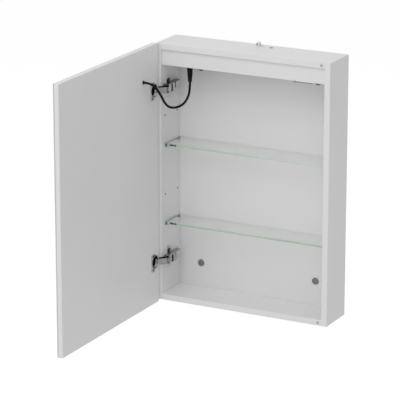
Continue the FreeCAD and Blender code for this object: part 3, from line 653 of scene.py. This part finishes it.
def set_out(name, single, body, node, places, direction, turn=0.0):
    """One piece in place of a CAD node: a mesh at each place, its Z axis along direction."""
    aim = Vector(direction).to_track_quat("Z", "Y").to_matrix().to_4x4()
    shape = bmesh.new()
    for index, place in enumerate(places):
        spin = Matrix.Rotation(math.radians(turn * (index + 1)), 4, "Z")
        copy = single.copy()
        copy.transform(Matrix.Translation(place) @ aim @ spin)
        shape.from_mesh(copy)
        bpy.data.meshes.remove(copy)
    mesh = bpy.data.meshes.new(name)
    shape.to_mesh(mesh)
    shape.free()
    mesh.set_sharp_from_angle(angle=SMOOTH_UP_TO)
    for material in single.materials:
        mesh.materials.append(material)
    bpy.data.meshes.remove(single)
    piece = bpy.data.objects.new(name, mesh)
    bpy.context.scene.collection.objects.link(piece)
    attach(piece, body)
    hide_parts(node)


def screws(name, body, node, places, direction, turn, **sizes):
    """Screws at some places, pointing out of the surface along direction."""
    single = screw_mesh(name + "_one", **sizes)
    set_out(name, single, body, node, places, direction, turn)


def at_hinges(x, y, *steps):
    """Places at some heights over the level of each hinge."""
    return [(x, y, level + step) for level in HINGE_LEVELS for step in steps]


screws("plate_screws", "carcass", "hinge_plate_screws",
       at_hinges(PLATE_SCREW_X, PLATE_SCREW_Y, -PLATE_SCREW_SPREAD, PLATE_SCREW_SPREAD),
       TO_THE_RIGHT, 23.0, shank=1.95 * MM, length=13.4 * MM, head=3.8 * MM, rise=1.8 * MM,
       recess=(2.3 * MM, 0.62 * MM, 1.4 * MM))
screws("cup_screws", "door", "hinge_cup_screws",
       at_hinges(CUP_SCREW_X, CUP_SCREW_Y, -CUP_SCREW_SPREAD, CUP_SCREW_SPREAD),
       TO_THE_RIGHT, 31.0, shank=1.65 * MM, length=9.4 * MM, head=3.3 * MM, rise=0.9 * MM,
       recess=(2.0 * MM, 0.55 * MM, 0.7 * MM))
screws("arm_screws", "carcass", "hinge_arm_screws", at_hinges(ARM_SCREW_X, ARM_SCREW_Y, 0.0),
       TO_THE_RIGHT, 40.0, shank=1.95 * MM, length=11.4 * MM, head=3.6 * MM, rise=2.3 * MM,
       recess=(2.4 * MM, 0.65 * MM, 1.5 * MM))
screws("clip_screw", "carcass", "cable_clip_screw", [CLIP_SCREW_PLACE],
       UP, 18.0, shank=1.45 * MM, length=12.0 * MM, head=3.0 * MM, rise=1.8 * MM,
       recess=(1.8 * MM, 0.5 * MM, 1.2 * MM), steel=zinc_steel)
screws("tray_screws", "carcass", "driver_screws",
       [(x, TRAY_SCREW_Y, DRIVER_FOOT_Z) for x in TRAY_SCREW_X],
       UP, 27.0, shank=1.55 * MM, length=10.4 * MM, head=3.2 * MM, rise=1.9 * MM,
       recess=(1.9 * MM, 0.55 * MM, 1.3 * MM))
set_out("wall_caps", turned_mesh("cap_one", CAP_PROFILE, SLOT_SHADES["grey_plastic"]),
        "carcass", "wall_screw_caps",
        [(x, BACK_FACE_Y, z) for x in (-CAP_X, CAP_X) for z in (-CAP_Z, CAP_Z)], OUT_OF_WALL)
set_out("bumpers", turned_mesh("bumper_one", BUMPER_PROFILE, SLOT_SHADES["clear_rubber"]),
        "carcass", "door_bumpers",
        [(BUMPER_X, FRONT_Y, z) for z in BUMPER_LEVELS], OUT_OF_WALL)

# Cable between the tray and the door

STEPS_PER_POINT = 8
STEPS_ROUND = 4
CABLE_DIAMETER = 6.2 * MM
CABLE_ROUTE = [
    (-0.1670, -0.0770, 0.2460),
    (-0.1670, -0.0770, 0.2250),
    (-0.1700, -0.0840, 0.2020),
    (-0.1770, -0.0990, 0.1870),
    (-0.1870, -0.1190, 0.1828),
    (-0.1960, -0.1390, 0.1876),
    (-0.2015, -0.1535, 0.2025),
    (-0.2050, -0.1650, 0.2240),
    (-0.2100, -0.1790, 0.2440),
    (-0.2170, -0.1905, 0.2565),
    (-0.2260, -0.1975, 0.2615),
    (-0.2360, -0.2005, 0.2625),
]


def route_curve(name, route, radius):
    """A smooth line with the route's points as control points, round when it has a radius."""
    data = bpy.data.curves.new(name, "CURVE")
    data.dimensions = "3D"
    data.resolution_u = STEPS_PER_POINT
    data.bevel_depth = radius
    data.bevel_resolution = STEPS_ROUND
    data.use_fill_caps = True
    spline = data.splines.new("NURBS")
    spline.points.add(len(route) - 1)
    for point, place in zip(spline.points, route):
        point.co = (*place, 1.0)
    spline.order_u = 3
    spline.use_endpoint_u = True
    return bpy.data.objects.new(name, data)


def curve_mesh(curve):
    """The curve as a mesh, through a moment in the scene."""
    bpy.context.scene.collection.objects.link(curve)
    bpy.context.view_layer.update()
    evaluated = curve.evaluated_get(bpy.context.evaluated_depsgraph_get())
    mesh = bpy.data.meshes.new_from_object(evaluated)
    bpy.data.objects.remove(curve)
    return mesh


line = curve_mesh(route_curve("cable_line", CABLE_ROUTE, 0.0))
cable_mesh = curve_mesh(route_curve("cable_tube", CABLE_ROUTE, CABLE_DIAMETER / 2))
cable_mesh.name = "cable"
cable_mesh.materials.clear()
cable_mesh.materials.append(cable_sheath)
for polygon in cable_mesh.polygons:
    polygon.use_smooth = True
cable = bpy.data.objects.new("cable", cable_mesh)
bpy.context.scene.collection.objects.link(cable)
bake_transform(cable)
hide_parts("door_cable")

# Floor, backdrop and light

FLOOR_LEVEL = -1.25
FLOOR_REACH = 40.0
FLOOR_GREY = 0.8
FLOOR_GLOW = 0.5
WORLD_LEVEL = 0.60
WHITE_LEVEL = 1.0
LAMP_TARGET = (0.0, -0.2, 0.0)
LAMP_SIZE = 2.4
KEY_PLACE, KEY_WATTS = (0.3, -2.6, 3.2), 40.0
FILL_PLACE, FILL_WATTS = (-0.5, -3.9, 0.9), 16.0


def seen_directly(tree):
    """One for camera, mirror and glass rays, so that they meet the white backdrop."""
    path = tree.nodes.new("ShaderNodeLightPath")
    total = path.outputs["Is Camera Ray"]
    for ray in ("Is Glossy Ray", "Is Transmission Ray"):
        node = tree.nodes.new("ShaderNodeMath")
        node.operation = "MAXIMUM"
        tree.links.new(total, node.inputs[0])
        tree.links.new(path.outputs[ray], node.inputs[1])
        total = node.outputs[0]
    return total


def make_floor():
    """A wide pale floor that keeps shadows, and glows white where it is seen."""
    mesh = bpy.data.meshes.new("floor")
    corners = ((-1, -1), (1, -1), (1, 1), (-1, 1))
    corners = [(x * FLOOR_REACH, y * FLOOR_REACH, FLOOR_LEVEL) for x, y in corners]
    mesh.from_pydata(corners, [], [(0, 1, 2, 3)])
    floor = bpy.data.objects.new("floor", mesh)
    bpy.context.scene.collection.objects.link(floor)
    material = bpy.data.materials.new("floor")
    material.use_nodes = True
    tree = material.node_tree
    tree.nodes.clear()
    output = tree.nodes.new("ShaderNodeOutputMaterial")
    diffuse = tree.nodes.new("ShaderNodeBsdfDiffuse")
    diffuse.inputs["Color"].default_value = grey(FLOOR_GREY)
    glow = tree.nodes.new("ShaderNodeEmission")
    tree.links.new(seen_directly(tree), glow.inputs["Strength"])
    glow.inputs["Color"].default_value = grey(FLOOR_GLOW)
    both = tree.nodes.new("ShaderNodeAddShader")
    tree.links.new(diffuse.outputs[0], both.inputs[0])
    tree.links.new(glow.outputs[0], both.inputs[1])
    tree.links.new(both.outputs[0], output.inputs["Surface"])
    mesh.materials.append(material)


def make_world():
    """Soft white light from all round, in front of a backdrop that is seen as plain white."""
    world = bpy.data.worlds.new("studio")
    world.use_nodes = True
    tree = world.node_tree
    tree.nodes.clear()
    output = tree.nodes.new("ShaderNodeOutputWorld")
    mix = tree.nodes.new("ShaderNodeMixShader")
    tree.links.new(seen_directly(tree), mix.inputs[0])
    for slot, level in ((1, WORLD_LEVEL), (2, WHITE_LEVEL)):
        light = tree.nodes.new("ShaderNodeBackground")
        light.inputs["Color"].default_value = grey(1.0)
        light.inputs["Strength"].default_value = level
        tree.links.new(light.outputs[0], mix.inputs[slot])
    tree.links.new(mix.outputs[0], output.inputs["Surface"])
    bpy.context.scene.world = world


def area_light(name, place, power):
    """A large square lamp, aimed at the cabinet."""
    data = bpy.data.lights.new(name, "AREA")
    data.shape = "SQUARE"
    data.size = LAMP_SIZE
    data.energy = power
    lamp = bpy.data.objects.new(name, data)
    lamp.location = place
    aim = Vector(LAMP_TARGET) - Vector(place)
    lamp.rotation_euler = aim.to_track_quat("-Z", "Y").to_euler()
    bpy.context.scene.collection.objects.link(lamp)


make_floor()
make_world()
area_light("key_light", KEY_PLACE, KEY_WATTS)
area_light("fill_light", FILL_PLACE, FILL_WATTS)
